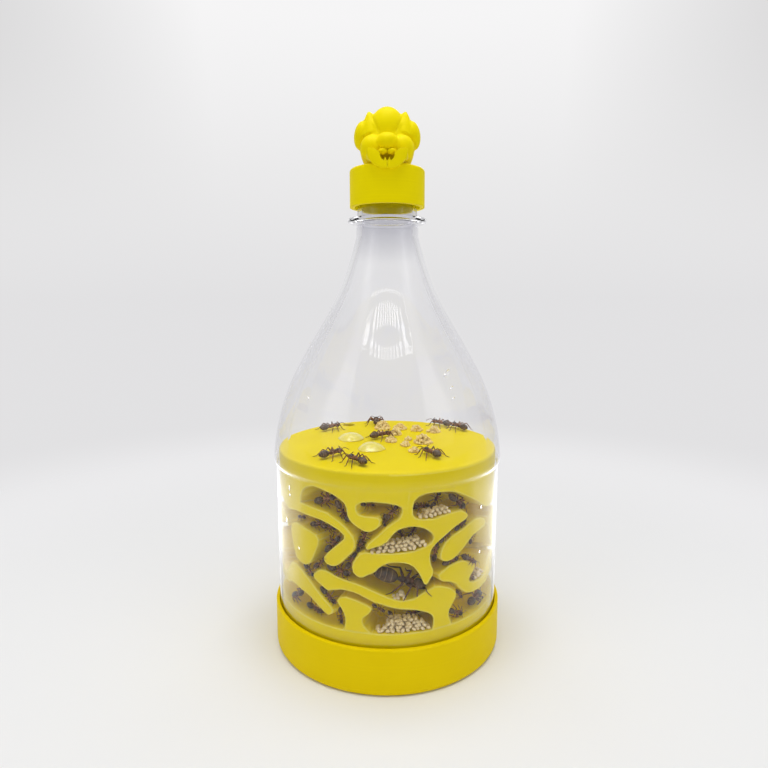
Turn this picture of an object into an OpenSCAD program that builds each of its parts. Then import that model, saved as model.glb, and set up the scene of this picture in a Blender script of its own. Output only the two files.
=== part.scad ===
// Ant habitat. A printed nest, with galleries that open onto its round side and a
// flat feeding deck on top, stands in a shallow base cup. A clear bottle with its
// bottom cut off slides down over the nest into the cup. Its screw cap carries a
// printed ant's head. Workers, a queen, brood and food are inside.
// Origin at the centre of the underside, +Z up, the head faces -Y.

/* [Bottle] */
// Outer radius of the bottle's straight wall
bottle_r = 48.3; // [46:0.1:52]
// Thickness of the bottle's wall
bottle_wall = 0.5; // [0.3:0.1:0.8]
// How far the bottle swells outwards where its shoulder starts
bulge = 1; // [0.4:0.1:1.6]
// Height of the step in which it swells
bulge_h = 7; // [4:0.5:12]
// How far below the deck's top the shoulder starts
shoulder_drop = 2.5; // [0:0.5:6]
// Height of the shoulder, from the bulge to the straight neck
shoulder_h = 91; // [80:1:105]

/* [Neck] */
// Outer radius of the neck below the support ring
neck_r = 13; // [12.9:0.1:13.6]
// Radius of the hole through the neck
neck_bore_r = 10.85; // [9.5:0.05:11.2]
// Length of the straight neck below the support ring
neck_h = 5.5; // [3:0.5:10]
// Radius of the support ring
ring_r = 16.5; // [15:0.1:18]
// Thickness of the support ring
ring_h = 1.8; // [1.2:0.1:3]
// From the support ring's underside to the lip
finish_h = 18.2; // [16:0.1:22]
// Outer radius of the neck inside the cap, without its thread
finish_r = 12.45; // [12:0.05:12.8]
// Bevel round the lip
lip_edge = 0.6; // [0.2:0.1:1]

/* [Thread] */
// Rise of the thread in one turn
pitch = 2.7; // [2.6:0.1:3.2]
// Turns of thread on the neck
neck_turns = 1.5; // [1:0.25:2]
// Turns of thread in the cap
cap_turns = 1.5; // [1:0.25:2]
// How far each thread stands out of its wall
thread_depth = 0.9; // [0.6:0.05:1.1]
// Clearance between the neck's thread and the cap's wall
thread_slip = 0.3; // [0.2:0.05:0.4]
// From the lip down to the top of the neck's thread
thread_drop = 1.6; // [1.2:0.1:2.5]

/* [Cap] */
// Thickness of the cap's side
cap_wall = 1.95; // [1.4:0.05:3]
// Thickness of the cap's top
cap_top_wall = 2.2; // [1.4:0.1:4]
// Length of the cap's skirt below the neck's lip
skirt_h = 11.8; // [10:0.1:13.5]
// Rounding of the cap's top edge
cap_edge = 1.2; // [0.4:0.1:1.6]
// Thickness of the sealing disc under the cap's top
seal_h = 1.2; // [0.6:0.1:2.5]
// Clearance round the sealing disc
seal_slip = 0.2; // [0.1:0.05:0.5]

/* [Head] */
// Width of the head across its eyes
head_w = 27.8; // [20:0.2:34]
// Height of the head above the cap
head_h = 24.6; // [18:0.2:32]

/* [Base cup] */
// Thickness of the cup's side
base_wall = 1.4; // [1:0.1:3]
// Thickness of the cup's floor
base_floor = 3; // [2:0.1:5]
// Height of the cup
base_h = 19.4; // [12:0.2:24]
// Rounding of the cup's bottom edge
base_edge = 2; // [0.5:0.1:3]
// Clearance between the bottle and the cup's side
bottle_slip = 0.3; // [0.2:0.05:0.8]
// Height of the ring on the cup's floor that centres the nest
spigot_h = 5; // [2:0.5:12]
// Wall of that ring
spigot_wall = 2; // [1.2:0.1:4]
// Clearance round that ring
spigot_slip = 0.3; // [0.2:0.05:0.6]

/* [Nest] */
// Clearance between the nest and the bottle's inside
nest_slip = 0.7; // [0.4:0.05:1.5]
// Height of the plain foot below the galleries
foot_h = 21.4; // [17:0.2:30]
// Height of the part with the galleries
gallery_h = 56; // [46:0.5:70]
// How deep the galleries reach in from the side
gallery_depth = 12; // [9:0.25:14]
// Thickness of the deck over the galleries
deck_h = 7.1; // [4:0.1:10]
// Rounding of the deck's top edge
deck_edge = 0.8; // [0.3:0.1:2]
// Wall between the galleries and the hollow core
core_wall = 3.8; // [2:0.1:6]
// Radius of the way down from the deck into the galleries
entrance_r = 3.2; // [3:0.1:3.6]

/* [Colony and food] */
// Length of a worker ant
worker_l = 11; // [8:0.5:12]
// Length of the queen
queen_l = 20; // [16:0.5:22]
// Length of a grain of brood
grain_l = 2.6; // [1.8:0.1:3.2]
// Radius of a drop of sugar water
drop_r = 5.6; // [4:0.1:6.5]
// Height of a drop of sugar water
drop_h = 2; // [1.4:0.1:3]
// Radius of a crumb of food
crumb_r = 1.5; // [0.8:0.1:2]

/* [Hidden] */

$fn = 96;
// What a cut reaches past the face that it cuts, and what joined solids share
over = 1;
join = 0.5;

// Radii, from the outside in
base_r = bottle_r + bottle_slip + base_wall;
nest_r = bottle_r - bottle_wall - nest_slip;
core_r = nest_r - gallery_depth;
hollow_r = core_r - core_wall;
spigot_r = hollow_r - spigot_slip;
cap_bore_r = finish_r + thread_depth + thread_slip;
cap_r = cap_bore_r + cap_wall;
seal_r = cap_bore_r - thread_depth - seal_slip;

// Heights, from the table up
gallery_z = base_floor + foot_h;
roof_z = gallery_z + gallery_h;
deck_z = roof_z + deck_h;
shoulder_z = deck_z - shoulder_drop;
neck_z = shoulder_z + shoulder_h;
ring_z = neck_z + neck_h;
lip_z = ring_z + finish_h;
cap_z = lip_z - skirt_h;
cap_top_z = lip_z + seal_h + cap_top_wall;

// The galleries are drawn on the nest's side rolled out flat: first the distance
// round the side from the middle of a sector, to the right, then the height. They are
// drawn for this radius and these heights, and follow the nest's own size from there.
drawn_r = 47;
drawn_floor = 24.4;
drawn_h = 56;
drawn_depth = 12;
// The pattern of one sector comes back this many times round the nest
sectors = 3;

// A curve through hand-set points
function between(a, b, c, d, t) =
    0.5 * (2 * b + (c - a) * t + (2 * a - 5 * b + 4 * c - d) * t * t
           + (3 * b - a - 3 * c + d) * t * t * t);
function loop_through(points, steps) =
    let (n = len(points))
    [for (i = [0:n - 1]) for (k = [0:steps - 1])
        between(points[(i + n - 1) % n], points[i], points[(i + 1) % n], points[(i + 2) % n], k / steps)];
function curve_through(points, steps) =
    let (last = len(points) - 1)
    concat([for (i = [0:last - 1]) for (k = [0:steps - 1])
               between(points[max(i - 1, 0)], points[i], points[i + 1],
                       points[min(i + 2, last)], k / steps)],
           [points[last]]);
// Eases from 0 to 1
function ease(t) = (1 - cos(180 * t)) / 2;

// ---- Base cup ----

module base_cup() {
    color([0.86, 0.76, 0.04]) {
        difference() {
            rotate_extrude() base_outline();
            translate([0, 0, base_floor]) cylinder(h = base_h, r = bottle_r + bottle_slip);
        }
        translate([0, 0, base_floor - join]) difference() {
            cylinder(h = spigot_h + join, r = spigot_r);
            translate([0, 0, -over]) cylinder(h = spigot_h + 3 * over, r = spigot_r - spigot_wall);
        }
    }
}

// Half of the cup's outline, with its bottom edge and its rim rounded
module base_outline() {
    rim = base_wall / 2;
    square([base_r - base_edge, base_h - rim]);
    translate([0, base_edge]) square([base_r, base_h - rim - base_edge]);
    translate([base_r - base_edge, base_edge]) circle(r = base_edge);
    translate([base_r - rim, base_h - rim]) circle(r = rim);
    translate([0, base_h - rim - join]) square([base_r - rim, rim + join]);
}

// ---- Nest ----

// Solid parts of one sector between its galleries. Each has the place that it faces,
// measured round the side, and its outline.
roof_left = [-23, [
    [-40, 82], [-37.6, 74.5], [-36, 77], [-34, 78.6], [-30, 79.7], [-27, 79.4], [-24, 78.7],
    [-21, 78], [-18, 76.5], [-16.4, 75.3], [-15.5, 73.5], [-15, 70.5], [-14.3, 69], [-13, 67.7],
    [-11.4, 66.5], [-8.7, 65.1], [-7.3, 64.9], [-5.8, 65.2], [-4.3, 66], [-3, 67.5], [-2.7, 69.6],
    [-3.6, 70.6], [-6, 70.8], [-8.5, 70.8], [-10.6, 71.3], [-11.6, 72.7], [-11.7, 74.4], [-11, 82]]];
roof_middle = [-2, [
    [-12.5, 82], [-11.6, 74.6], [-9.6, 76.1], [-5.5, 76.5], [0, 76.1], [3.5, 75.3], [5.2, 74.4],
    [7.5, 74], [8.5, 82]]];
roof_right = [46, [
    [26, 82], [27, 78], [30, 76.8], [32.3, 75.6], [35, 74.2], [38, 72.7], [41.5, 70.6],
    [45, 68.3], [48, 66.8], [51, 66.2], [54, 66.6], [57, 67.4], [59.5, 69], [60.4, 71.5],
    [60.6, 74], [61.4, 75.5], [62, 82]]];
hook = [-27, [
    [-47, 69.5], [-45, 71.5], [-38, 71.5], [-30, 71], [-24, 70.3], [-19, 68], [-15.3, 65.2],
    [-13, 62.5], [-12.3, 60.4], [-12.4, 58.3], [-13.4, 56.3], [-15.2, 54.4], [-18, 51.4],
    [-19.3, 50.3], [-20.8, 49.6], [-22.5, 49.5], [-24.3, 49.9], [-25.4, 51], [-25.4, 52.2],
    [-23.4, 54.8], [-20, 58], [-18, 59.8], [-16.6, 61.3], [-16.5, 62.5], [-18.7, 64.3],
    [-22.5, 65.9], [-27, 67], [-33, 67.3], [-40, 67.3], [-45, 67.5]]];
heart = [8, [
    [5.4, 82], [5.5, 76], [5.5, 72.5], [4.7, 70.3], [2.9, 69], [0, 66.8], [-2, 64.8], [-5, 62.1],
    [-7.3, 59.8], [-7.9, 58.2], [-7, 57.9], [-5, 58.8], [-2, 59.8], [0, 61.2], [1.2, 62.7],
    [2.6, 64.5], [4, 65.7], [6, 66.4], [8.2, 66.8], [10.3, 66.7], [12.6, 66.2], [14.7, 65.2],
    [16.4, 64], [17.6, 62.5], [17.8, 61], [16.6, 59.4], [14, 58.2], [10, 57.1], [4, 56.6],
    [-4, 56.6], [-8, 56.8], [-10.3, 56], [-11.7, 54], [-12.9, 52], [-13.3, 50.2], [-12.9, 48.4],
    [-11.7, 47.3], [-10.5, 46.7], [-9, 46.8], [-7.6, 47.7], [-5.5, 48.7], [-4.3, 49.5],
    [-3.2, 50.8], [-1.7, 51.9], [0, 52.7], [2, 53], [4, 53], [6.5, 52.7], [8.5, 51.9],
    [10, 50.9], [11, 49.6], [12, 48.1], [12.9, 46.4], [13.5, 44.9], [14.1, 43.7], [15, 43.1],
    [15.7, 43.6], [16.6, 45.2], [17.5, 46.4], [17.9, 47.8], [17.7, 49], [17, 50.5],
    [16.6, 52.2], [16.4, 54], [16.6, 55.7], [17.3, 57.4], [18.8, 58.9], [20.5, 60.1],
    [22.6, 61.4], [24.3, 62.4], [26.4, 63.6], [28.7, 64.6], [30.8, 65.2], [33, 65.8],
    [34.2, 66.8], [33.7, 67.9], [32, 69], [30, 70], [25, 70], [21, 69.5], [17.6, 68.9],
    [13.2, 69.2], [10.6, 69.9], [9.6, 71.5], [9.5, 74], [10, 76.3], [11.7, 78], [14.7, 79],
    [17.6, 79.1], [20.5, 78.9], [23.5, 78.6], [26, 78.3], [28, 77.7], [29, 82]]];
ledge = [34, [
    [21, 54], [21.7, 56.3], [23.5, 58.9], [26.4, 60.7], [31, 62], [35, 63.5], [39.6, 64.3],
    [43.5, 63.6], [46.5, 62.2], [47.8, 60.4], [46.8, 59], [43, 58.8], [40.5, 58.6], [38, 58],
    [35.8, 56.9], [33.7, 55.4], [32, 54.2], [30, 53], [28.2, 51.9], [26.4, 51.1], [24, 50.9],
    [22.3, 51.3], [21.2, 52.4]]];
shelf = [33, [
    [20.2, 46], [22.9, 47.5], [24.9, 48.7], [28, 49.3], [31, 49.3], [33.7, 48.4], [36, 47],
    [38, 45.8], [39.6, 44.4], [38.4, 42.7], [36.6, 41.4], [35.7, 40.2], [36.4, 38.9],
    [38.5, 38], [44, 37.4], [50, 37.6], [52, 35.5], [49.5, 34], [44, 33.5], [39.6, 33.8],
    [36.7, 34.3], [33.7, 35.2], [32, 36.7], [30.5, 38.2], [28.7, 40.2], [27, 41.4],
    [24.9, 42.4], [22.3, 43], [21, 44]]];
spur = [-37, [
    [-52, 36.5], [-50, 34.6], [-44, 35.6], [-41.6, 35.4], [-38.7, 34.9], [-36, 34.6],
    [-34.3, 34.2], [-32, 33.3], [-30, 32.1], [-27.8, 30.8], [-25.5, 29.5], [-23.9, 28.8],
    [-22.4, 29.7], [-21.7, 31.2], [-23, 32.7], [-26, 35], [-30, 38], [-34, 41], [-38, 43.3],
    [-42, 44.6], [-45.5, 44], [-48, 41.5], [-50.5, 38.7]]];
boss = [-37, [
    [-46, 58], [-45, 60.7], [-42, 62.1], [-38, 61.9], [-33, 61], [-29.5, 60.2], [-28, 58.5],
    [-28.5, 56], [-30, 53], [-31.5, 50], [-33, 47.6], [-35.5, 46.3], [-39, 46.3], [-41.5, 47.3],
    [-43.3, 50], [-44.7, 54]]];
bridge = [-2, [
    [-30.9, 43.1], [-30.5, 44.2], [-29, 45.5], [-27.2, 46.6], [-25, 46.9], [-22, 46.2],
    [-18, 45], [-12, 44], [-8, 42.8], [-4, 41], [0, 39.3], [5, 37.6], [10, 38], [15, 40.6],
    [18.5, 41.7], [21.2, 41.3], [24.9, 39.8], [26.4, 38.7], [28.2, 37], [28.5, 36.1],
    [28.2, 34.9], [27.3, 33.5], [26, 31.7], [25.2, 30.5], [24.8, 29.1], [24.9, 27.6],
    [25.6, 26], [27, 23], [17, 23], [17.9, 26], [18, 29], [17.3, 30.4], [15.5, 31.7],
    [13.2, 32.7], [10.9, 33.5], [8.2, 33.9], [5.3, 34.3], [2.3, 34.9], [0, 35.6], [-2, 36.3],
    [-5, 37.1], [-8, 38.5], [-10.8, 39.8], [-13.1, 40.4], [-15.8, 40.7], [-17.8, 40.7],
    [-19.6, 40.2], [-21.7, 39.6], [-23.4, 39], [-24.6, 39.2], [-26.3, 40.1], [-28.4, 41.1],
    [-30.3, 42.1]]];
post = [-13, [
    [-18, 23], [-16.7, 25.8], [-16.4, 27.6], [-16.5, 29.7], [-17.1, 31.4], [-18.1, 33.2],
    [-19.3, 34.6], [-19.8, 36], [-18.4, 37.4], [-16, 38], [-12, 37.2], [-8, 35.8], [-6.2, 34.8],
    [-6.1, 33.6], [-7, 32.3], [-8.5, 31.1], [-9.5, 30.2], [-9.6, 28.8], [-9, 27], [-7, 25],
    [-4, 23]]];
islands = [roof_left, roof_middle, roof_right, hook, heart, ledge, shelf, spur, boss, bridge, post];

function round_angle(s) = s / drawn_r * 180 / PI;
function height_at(z) = gallery_z + (z - drawn_floor) * gallery_h / drawn_h;
// Places a height that is drawn on the galleries' walls, seen square on from outside
function facing(outline, aim) =
    [for (p = outline) [nest_r * sin(round_angle(p[0] - aim)), height_at(p[1])]];

// Each wall of the galleries is a little shallower than the one before it, so that
// where two of them meet their faces don't coincide
wall_step = 0.02;

module island(number) {
    part = islands[number];
    step = wall_step * (number + 1);
    rotate([0, 0, round_angle(part[0])]) intersection() {
        rotate([90, 0, 0]) linear_extrude(height = nest_r + over)
            polygon(facing(part[1], part[0]));
        translate([0, 0, base_floor]) difference() {
            cylinder(h = deck_z, r = nest_r - step);
            translate([0, 0, -over]) cylinder(h = deck_z + 2 * over, r = core_r - join - step);
        }
    }
}

module nest_insert() {
    color([0.93, 0.82, 0.03]) difference() {
        union() {
            translate([0, 0, base_floor]) cylinder(h = foot_h, r = nest_r);
            translate([0, 0, base_floor]) cylinder(h = foot_h + gallery_h + join, r = core_r);
            deck();
            for (turn = [0:sectors - 1])
                rotate([0, 0, turn * 360 / sectors])
                    for (number = [0:len(islands) - 1]) island(number);
        }
        translate([0, 0, base_floor - over])
            cylinder(h = foot_h + gallery_h - core_wall + over, r = hollow_r);
        rotate([0, 0, entrance_turn])
            translate([0, -entrance_way, roof_z - over]) cylinder(h = deck_h + 2 * over, r = entrance_r);
    }
}

module deck() {
    translate([0, 0, roof_z]) rotate_extrude() {
        square([nest_r - deck_edge, deck_h]);
        square([nest_r, deck_h - deck_edge]);
        translate([nest_r - deck_edge, deck_h - deck_edge]) circle(r = deck_edge);
    }
}

// The way down lies behind, in the middle of the gallery's depth
entrance_turn = round_angle(-26) - 360 / sectors;
entrance_way = (core_r + nest_r) / 2;

// ---- Bottle ----

// Radius and height above the bulge, from the bulge to the neck
shoulder = [[1, 0], [0.947, 0.155], [0.815, 0.315], [0.61, 0.47], [0.385, 0.62],
            [0.195, 0.76], [0.085, 0.88], [0, 1]];
bulge_r = bottle_r + bulge;
// The outside of the wall from the cut edge to the neck, and how thick it is there
wall_line = concat(
    [[bottle_r, base_floor, bottle_wall]],
    [for (k = [0:8]) [bottle_r + bulge * ease(k / 8), shoulder_z - bulge_h * (1 - k / 8), bottle_wall]],
    [for (p = curve_through([for (q = shoulder) [neck_r + (bulge_r - neck_r) * q[0], q[1]]], 4))
        if (p[1] > 0)
            [p[0], shoulder_z + shoulder_h * p[1],
             bottle_wall + (neck_r - neck_bore_r - bottle_wall) * ease(pow(p[1], 2))]]);

module bottle() {
    color([0.85, 0.86, 0.92, 0.35]) {
        rotate_extrude() polygon(concat(
            [for (p = wall_line) [p[0], p[1]]],
            [[neck_r, ring_z], [ring_r - ring_h / 4, ring_z], [ring_r, ring_z + ring_h / 4],
             [ring_r, ring_z + ring_h * 3 / 4], [ring_r - ring_h / 4, ring_z + ring_h],
             [finish_r, ring_z + ring_h], [finish_r, lip_z - lip_edge], [finish_r - lip_edge, lip_z],
             [neck_bore_r, lip_z]],
            [for (i = [len(wall_line) - 1:-1:0])
                [wall_line[i][0] - wall_line[i][2], wall_line[i][1]]]));
        translate([0, 0, lip_z - thread_drop - neck_turns * pitch])
            thread(finish_r, 1, neck_turns);
    }
}

// A thread that stands out of a wall of radius wall_r: outwards for side 1, inwards
// for side -1. It starts at the front and climbs anticlockwise.
thread_root = pitch * 0.42;
thread_crest = pitch * 0.22;
steps_per_turn = 36;

function thread_fade(turn, turns) = min(1, turn * 6, (turns - turn) * 6);

module thread(wall_r, side, turns) {
    rings = ceil(turns * steps_per_turn);
    points = [for (i = [0:rings])
        let (turn = turns * i / rings,
             reach = wall_r + side * (0.1 + (thread_depth - 0.1) * thread_fade(turn, turns)),
             back = wall_r - side * join)
        for (corner = [[back, -thread_root / 2], [reach, -thread_crest / 2],
                       [reach, thread_crest / 2], [back, thread_root / 2]])
            [corner[0] * sin(turn * 360), -corner[0] * cos(turn * 360), corner[1] + turn * pitch]];
    sides = [for (i = [0:rings - 1]) for (c = [0:3])
        let (a = 4 * i + c, b = 4 * i + (c + 1) % 4)
        for (face = [[a, a + 4, b], [b, a + 4, b + 4]])
            side < 0 ? face : [face[0], face[2], face[1]]];
    ends = [[0, 1, 2], [0, 2, 3], [4 * rings + 2, 4 * rings + 1, 4 * rings],
            [4 * rings + 3, 4 * rings + 2, 4 * rings]];
    polyhedron(points, concat(sides,
        [for (face = ends) side < 0 ? face : [face[0], face[2], face[1]]]));
}

// ---- Cap ----

module screw_cap() {
    color([0.85, 0.79, 0.04]) {
        difference() {
            translate([0, 0, cap_z]) rotate_extrude() cap_outline();
            translate([0, 0, cap_z - over])
                cylinder(h = cap_top_z - cap_top_wall - cap_z + over, r = cap_bore_r);
        }
        translate([0, 0, lip_z - thread_drop - neck_turns * pitch - cap_mesh])
            thread(cap_bore_r, -1, cap_turns);
    }
}

// The cap's thread lies half a pitch below the neck's, so it bears on its underside
cap_mesh = pitch * 0.45;

module cap_outline() {
    high = cap_top_z - cap_z;
    square([cap_r, high - cap_edge]);
    square([cap_r - cap_edge, high]);
    translate([cap_r - cap_edge, high - cap_edge]) circle(r = cap_edge);
}

module seal_disc() {
    color([0.93, 0.93, 0.9]) translate([0, 0, lip_z]) cylinder(h = seal_h, r = seal_r);
}

// ---- Head ----

// The head is drawn with unit width and height and takes its own from the sizes above
module ant_head() {
    color([0.95, 0.87, 0.03]) translate([0, 0, cap_top_z]) difference() {
        union() {
            ball([0, 0.04, 0.36], [0.42, 0.42, 0.52]);
            ball([0, 0.05, 0.76], [0.21, 0.25, 0.24]);
            for (side = [-1, 1]) {
                ball([0.41 * side, -0.04, 0.58], [0.09, 0.16, 0.24]);
                ball([0.2 * side, -0.33, 0.31], [0.18, 0.2, 0.28]);
                horn(side);
                mandible(side);
            }
            ball([0, -0.39, 0.44], [0.14, 0.15, 0.22]);
        }
        translate([0, 0, -head_h]) cylinder(h = head_h, r = cap_r);
    }
}

module ball(at, size) {
    translate([at[0] * head_w, at[1] * head_w, at[2] * head_h])
        scale([size[0] * head_w, size[1] * head_w, size[2] * head_h]) sphere(r = 1);
}

module horn(side) {
    translate([0.22 * side * head_w, -0.04 * head_w, 0.6 * head_h])
        rotate([0, 12 * side, 0]) cylinder(h = 0.36 * head_h, r1 = 0.13 * head_w, r2 = 0.02 * head_w);
}

// A jaw in front of the cap's edge, curving in from the cheek to the middle
jaw_outline = [[0.33, 0.27], [0.29, 0.3], [0.2, 0.27], [0.12, 0.2], [0.1, 0.1], [0.05, 0.02],
               [0.01, 0.03], [0.01, -0.09], [0.09, -0.12], [0.18, -0.1], [0.27, 0], [0.33, 0.12]];
jaw_front = -0.64;
jaw_depth = 0.075;

module mandible(side) {
    outline = loop_through([for (p = jaw_outline) [side * p[0] * head_w, p[1] * head_h]], 3);
    translate([0, jaw_front * head_w + jaw_depth * head_w, 0])
        rotate([90, 0, 0]) linear_extrude(height = jaw_depth * head_w) polygon(outline);
    translate([0.2 * side * head_w, jaw_front * head_w + jaw_depth * head_w / 2, 0.16 * head_h])
        rotate([-90, 0, 0]) cylinder(h = 0.3 * head_w, r = 0.08 * head_w);
}

// ---- Colony ----

// Half-widths along an ant as shares of its length, from the tip of the abdomen
function ant_width(t) =
    t < 0.46 ? 0.135 * sqrt(max(0, 1 - pow((t - 0.23) / 0.232, 2)))
    : t < 0.74 ? 0.03 + 0.045 * sin(180 * (t - 0.46) / 0.28)
    : 0.085 * sqrt(max(0, 1 - pow((t - 0.87) / 0.131, 2)));
function egg_width(t) = 0.2 * sqrt(max(0, 1 - pow(2 * t - 1, 2)));

// A body of this length along X, head first, around the origin
module ant_body(length) {
    stations = [0.01, 0.04, 0.1, 0.18, 0.26, 0.34, 0.41, 0.45, 0.48, 0.54, 0.6, 0.66, 0.72, 0.76,
                0.81, 0.87, 0.93, 0.97, 0.99];
    translate([-length / 2, 0, 0]) rotate([90, 0, 90]) rotate_extrude()
        polygon(concat([[0, 0.01 * length]],
            [for (t = stations) [max(0.02, ant_width(t)) * length, t * length]],
            [[0, 0.99 * length]]));
}

// Places its children in a gallery: round the side, up, and in from the side, with
// their X turned up by this much
module in_gallery(s, z, depth, turn) {
    rotate([0, 0, round_angle(s)])
        translate([0, depth * gallery_depth / drawn_depth - nest_r, height_at(z)])
        rotate([0, -turn, 0]) children();
}

// Places its children on the deck, whose places are drawn for the same radius
module on_deck(at) {
    translate([at[0] * nest_r / drawn_r, at[1] * nest_r / drawn_r, deck_z]) children();
}

// Midpoint on the deck and heading of each worker there
deck_walk = [[-27.5, 24, 46], [-5.5, 37, 92], [-3, 7, 40], [-22.5, -25, 46], [-11.5, -34.5, 126],
             [18, -24, 117], [27, 33, 134], [35, 25, 119]];
// Place, depth, heading and share of a full length of each worker in the galleries
gallery_walk = [
    [-27.5, 74, 3.5, 20, 0.9], [-18.5, 71, 2.5, -55, 0.75], [-8, 74, 3.5, 0, 0.45],
    [1.5, 71.5, 2, 50, 0.65], [-1, 69, 1.5, -90, 0.4], [-42.5, 63.2, 3, 10, 0.45],
    [-31.5, 63.5, 3, 20, 0.65], [-27.5, 62, 5.5, 5, 0.65], [-22.5, 57.5, 1.5, 48, 0.8],
    [-9.5, 61.5, 2.5, 68, 0.65], [-11, 58.5, 1.5, 75, 0.45], [-14.5, 52, 1.5, 60, 0.65],
    [-28.5, 48.5, 1.2, 40, 0.7], [-35.5, 43.5, 1.5, -30, 0.55], [-20, 47.5, 1.5, -10, 0.8],
    [-25, 36, 1.5, -36, 0.7], [-48, 28, 3, 30, 0.9], [-36, 26, 4.5, 0, 0.8],
    [-20, 28, 3, -85, 0.55], [16, 71, 8.5, 0, 0.65], [23.5, 73, 7.5, 60, 0.65],
    [31.5, 72.5, 3, -38, 0.9], [31.5, 63.5, 1, 25, 0.55], [23.5, 60.5, 1, 40, 0.5],
    [19.5, 55, 1.5, 80, 0.65], [26.5, 50, 1, 5, 0.65], [37.5, 47.5, 1.5, -32, 0.8],
    [39.5, 56, 1.5, 60, 0.45], [33.5, 33.5, 3, -50, 0.5], [30, 27.5, 1.5, -28, 0.7],
    [47.5, 26.5, 3.5, 0, 1], [39.5, 40, 1, 120, 0.45], [2.5, 27.5, 6, -60, 0.55],
    [12.5, 26.5, 9.5, 20, 0.65], [-3.5, 34, 1.5, -30, 0.45], [7, 60, 9.5, -60, 0.5],
    [12.5, 60.5, 10, 60, 0.5]];

module deck_workers() {
    color([0.22, 0.1, 0.05]) for (w = deck_walk)
        on_deck(w) translate([0, 0, worker_l * 0.135]) rotate([0, 0, w[2]]) ant_body(worker_l);
}

module gallery_workers() {
    color([0.2, 0.09, 0.05]) for (w = gallery_walk)
        in_gallery(w[0], w[1], w[2], w[3]) ant_body(w[4] * worker_l);
}

module queen_ant() {
    color([0.25, 0.12, 0.06]) in_gallery(5.5, 44.5, 3.5, -22) ant_body(queen_l * 0.95);
}

// Piles of brood: where each starts and ends round the side, the floor's height there,
// and how many grains it is high
piles = [[1.5, 14.5, 56.5, 58.3, 3], [1.5, 15.5, 24.4, 24.4, 3], [13.2, 22, 69.3, 69.8, 2],
         [5, 6, 37.9, 37.9, 1], [42.6, 47, 38, 38.1, 1]];
grain_r = grain_l * 0.2;

module brood() {
    color([0.93, 0.9, 0.74]) for (pile = piles) {
        columns = floor((pile[1] - pile[0]) / (grain_l * 1.15)) + 1;
        for (column = [0:columns - 1], row = [0:pile[4] - 1], layer = [0:1]) {
            s = pile[0] + (column + 0.3 * (row % 2)) * grain_l * 1.15;
            z = pile[2] + (pile[3] - pile[2]) * (s - pile[0]) / (pile[1] - pile[0]);
            in_gallery(s, z + grain_r * (1.5 + 2.4 * row), 1.2 + layer * grain_r * 2.7,
                       8 * sin(97 * (column + row + layer)))
                grain();
        }
    }
}

module grain() {
    shares = [0.03, 0.12, 0.3, 0.5, 0.7, 0.88, 0.97];
    rotate([90, 0, 90]) rotate_extrude() translate([0, -grain_l / 2])
        polygon(concat([[0, 0.03 * grain_l]],
            [for (t = shares) [egg_width(t) * grain_l, t * grain_l]],
            [[0, 0.97 * grain_l]]));
}

// ---- Food ----

crumb_spots = [[-2.3, 27.2], [6.2, 26.1], [3.9, 14.3], [13.9, 22.8], [22.3, 19.5], [15.8, -1.3],
               [7.9, -6.7], [11.1, -16.8], [1.7, 0.5]];

module food_crumbs() {
    color([0.8, 0.68, 0.45]) for (i = [0:len(crumb_spots) - 1])
        on_deck(crumb_spots[i]) bead(crumb_r * (1 + 0.25 * sin(i * 137)), crumb_r);
}

drop_spots = [[-16.4, 5.7], [-6.8, -12.1]];

module sugar_drops() {
    color([0.95, 0.9, 0.6, 0.6]) for (at = drop_spots)
        on_deck(at) bead(drop_r, drop_h);
}

// The top of a ball, with this radius where it lies on the deck and this height
module bead(r, h) {
    ball_r = (r * r + h * h) / (2 * h);
    intersection() {
        translate([0, 0, h - ball_r]) sphere(r = ball_r);
        cylinder(h = 2 * h, r = 2 * r);
    }
}

base_cup();
nest_insert();
bottle();
screw_cap();
seal_disc();
ant_head();
deck_workers();
gallery_workers();
queen_ant();
brood();
food_crumbs();
sugar_drops();
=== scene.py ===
import bpy, bmesh, math, random
from mathutils import Matrix, Vector, noise


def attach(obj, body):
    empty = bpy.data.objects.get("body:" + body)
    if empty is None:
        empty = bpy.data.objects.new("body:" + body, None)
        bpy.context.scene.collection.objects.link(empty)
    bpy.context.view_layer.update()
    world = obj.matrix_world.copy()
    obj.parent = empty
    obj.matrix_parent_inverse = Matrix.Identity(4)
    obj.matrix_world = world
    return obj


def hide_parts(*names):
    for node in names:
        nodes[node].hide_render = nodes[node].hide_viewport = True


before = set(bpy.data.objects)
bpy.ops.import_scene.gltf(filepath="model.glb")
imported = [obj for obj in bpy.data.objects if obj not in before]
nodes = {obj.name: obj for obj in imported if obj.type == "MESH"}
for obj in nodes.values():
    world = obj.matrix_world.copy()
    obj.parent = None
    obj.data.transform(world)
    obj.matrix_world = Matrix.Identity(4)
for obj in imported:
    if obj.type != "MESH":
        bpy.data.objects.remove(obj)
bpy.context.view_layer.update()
print("frame loaded,", len(nodes), "solids")

# Shapes are drawn in millimetres and made metres when a piece is finished
baseFloor = 3.0
deckTop = 87.5
nestRadius = 47.1
neckTop = 199.7
capTop = 203.1
unrolledRadius = 47.0  # places in the galleries are measured round the nest here


def newObject(name, data):
    made = bpy.data.objects.new(name, data)
    bpy.context.scene.collection.objects.link(made)
    return made


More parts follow.
